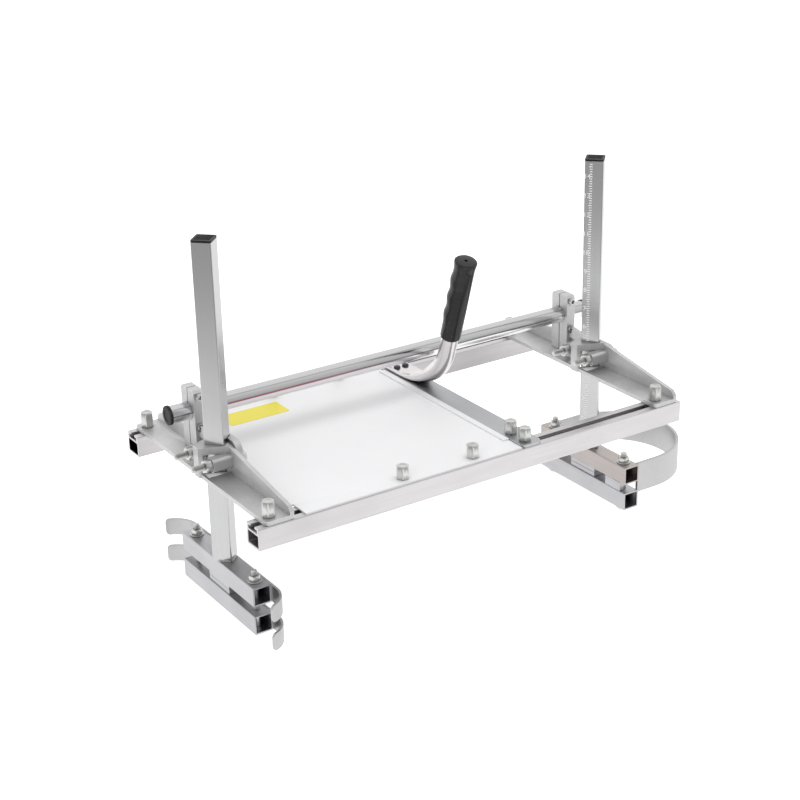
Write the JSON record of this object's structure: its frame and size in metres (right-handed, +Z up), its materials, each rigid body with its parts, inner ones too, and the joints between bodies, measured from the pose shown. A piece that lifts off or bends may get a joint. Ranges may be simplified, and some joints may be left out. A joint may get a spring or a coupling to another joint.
{
  "type": "chainsaw cutting frame",
  "caption": "Adjustable frame that clamps a chainsaw's guide bar and guides it level along a log, with two slotted rails, sliding posts, a thrust tube and a push handle.",
  "frame": {"origin": "on the ground under the middle of the whole frame, which stands on four domed bolt heads", "axes": "+X along the rails towards the nose guard, +Y from the front rail to the rear one, +Z up"},
  "size_m": [0.736, 0.333, 0.4665],
  "materials": {
    "rail_metal": "satin",
    "post_metal": "satin",
    "cast_metal": "rough cast",
    "clamp_metal": "zinc plated",
    "pad_metal": "satin",
    "guard_metal": "zinc plated",
    "fastener_metal": "zinc plated",
    "brace_metal": "satin",
    "handle_metal": "polished",
    "tube_chrome": "polished",
    "panel_white": "satin white",
    "sticker_yellow": "plain",
    "grip_black": "satin",
    "cap_black": "satin",
    "screw_dark": "blackened"
  },
  "bodies": {
    "frame": {"front_rail": "rail_metal", "rear_rail": "rail_metal", "deck_panel": "panel_white", "blank_sticker": "sticker_yellow", "cross_brace": "brace_metal", "deck_tee_bolts": "fastener_metal", "deck_long_nuts": "fastener_metal", "brace_stop_bolt": "fastener_metal", "handle_bar": "handle_metal", "handle_grip": "grip_black", "handle_screws": "screw_dark"},
    "thrust_bar": {"thrust_tube": "tube_chrome", "thrust_tube_caps": "cap_black"},
    "left_carriage": {"left_bracket": "cast_metal", "left_saddle": "cast_metal", "left_clamp_bolts": "fastener_metal", "left_clamp_nuts": "fastener_metal", "left_tube_clamp_cap": "cast_metal", "left_tube_clamp_screws": "fastener_metal", "left_tee_bolts": "fastener_metal", "left_long_nuts": "fastener_metal"},
    "left_upright": {"left_post": "post_metal", "left_post_cap": "cap_black", "left_upper_jaw": "clamp_metal", "left_upper_pad": "pad_metal", "left_jaw_nuts": "fastener_metal", "left_upper_skid": "guard_metal"},
    "left_lower_clamp": {"left_lower_jaw": "clamp_metal", "left_lower_pad": "pad_metal", "left_jaw_bolts": "fastener_metal", "left_lower_skid": "guard_metal"},
    "right_carriage": {"right_bracket": "cast_metal", "right_saddle": "cast_metal", "right_clamp_bolts": "fastener_metal", "right_clamp_nuts": "fastener_metal", "right_tube_clamp_cap": "cast_metal", "right_tube_clamp_screws": "fastener_metal", "right_tee_bolts": "fastener_metal", "right_long_nuts": "fastener_metal"},
    "right_upright": {"right_post": "post_metal", "right_post_cap": "cap_black", "right_upper_jaw": "clamp_metal", "right_upper_pad": "pad_metal", "right_jaw_nuts": "fastener_metal", "nose_block": "clamp_metal", "nose_guard": "guard_metal"},
    "right_lower_clamp": {"right_lower_jaw": "clamp_metal", "right_lower_pad": "pad_metal", "right_jaw_bolts": "fastener_metal"}
  },
  "joints": [
    {"name": "left_carriage_slide", "type": "slide", "parent": "frame", "child": "left_carriage", "axis": [1, 0, 0], "range_m": [-0.01, 0.004]},
    {"name": "right_carriage_slide", "type": "slide", "parent": "frame", "child": "right_carriage", "axis": [1, 0, 0], "range_m": [-0.15, 0.005]},
    {"name": "left_post_slide", "type": "slide", "parent": "left_carriage", "child": "left_upright", "axis": [0, 0, 1], "range_m": [-0.22, 0.08]},
    {"name": "right_post_slide", "type": "slide", "parent": "right_carriage", "child": "right_upright", "axis": [0, 0, 1], "range_m": [-0.22, 0.08]},
    {"name": "left_clamp_open", "type": "slide", "parent": "left_upright", "child": "left_lower_clamp", "axis": [0, 0, -1], "range_m": [0, 0.012]},
    {"name": "right_clamp_open", "type": "slide", "parent": "right_upright", "child": "right_lower_clamp", "axis": [0, 0, -1], "range_m": [0, 0.012]},
    {"name": "thrust_tube_turn", "type": "hinge", "parent": "frame", "child": "thrust_bar", "pos_m": [-0.046, 0.0575, 0.2373], "axis": [1, 0, 0], "continuous": true}
  ]
}
